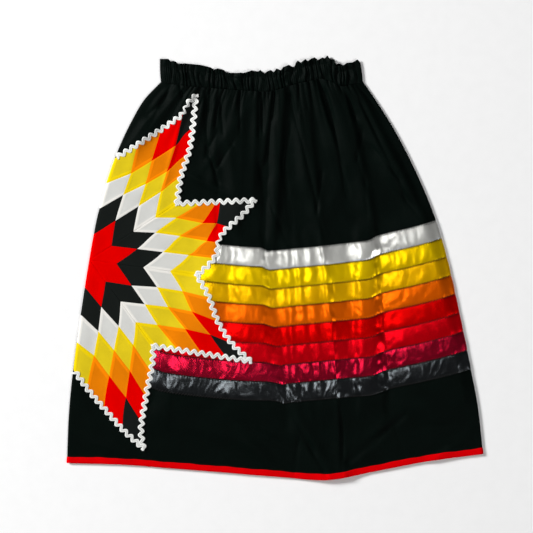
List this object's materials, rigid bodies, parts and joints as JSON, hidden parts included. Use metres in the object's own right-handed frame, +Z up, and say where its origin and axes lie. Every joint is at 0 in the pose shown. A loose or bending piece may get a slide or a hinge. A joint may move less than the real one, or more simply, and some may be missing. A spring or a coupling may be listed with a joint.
{
  "type": "ribbon skirt laid flat",
  "caption": "Black cotton skirt laid flat, with a gathered elastic waist, bands of satin ribbon, a pieced star edged in wavy trim and a bound hem.",
  "frame": {"origin": "middle of the skirt's outline in plan, on the surface that it lies on", "axes": "+Z up out of the laid front, +Y from the hem to the waist, +X to the wearer's left as seen from above"},
  "size_m": [0.832, 0.8472, 0.0096],
  "materials": {
    "cotton": "plain woven black cotton, soft folds",
    "satin_white": "white satin ribbon",
    "satin_yellow": "yellow satin ribbon",
    "satin_gold": "golden yellow satin ribbon",
    "satin_orange": "orange satin ribbon",
    "satin_red": "red satin ribbon",
    "satin_crimson": "crimson satin ribbon",
    "satin_burgundy": "burgundy satin ribbon",
    "satin_black": "black satin ribbon",
    "patchwork": "pieced cotton diamonds in red, black, white, yellow and orange",
    "rickrack": "white woven wavy braid",
    "binding_red": "red cotton bias binding"
  },
  "bodies": {
    "root": {"skirt_front": "cotton", "skirt_back": "cotton", "casing_front": "cotton", "casing_back": "cotton", "ribbon_white_front": "satin_white", "ribbon_white_back": "satin_white", "ribbon_yellow_front": "satin_yellow", "ribbon_yellow_back": "satin_yellow", "ribbon_gold_front": "satin_gold", "ribbon_gold_back": "satin_gold", "ribbon_orange_front": "satin_orange", "ribbon_orange_back": "satin_orange", "ribbon_red_front": "satin_red", "ribbon_red_back": "satin_red", "ribbon_crimson_front": "satin_crimson", "ribbon_crimson_back": "satin_crimson", "ribbon_burgundy_front": "satin_burgundy", "ribbon_burgundy_back": "satin_burgundy", "ribbon_black_front": "satin_black", "ribbon_black_back": "satin_black", "star_front": "patchwork", "star_back": "patchwork", "rickrack_front": "rickrack", "rickrack_back": "rickrack", "binding_front": "binding_red", "binding_back": "binding_red"}
  },
  "joints": []
}
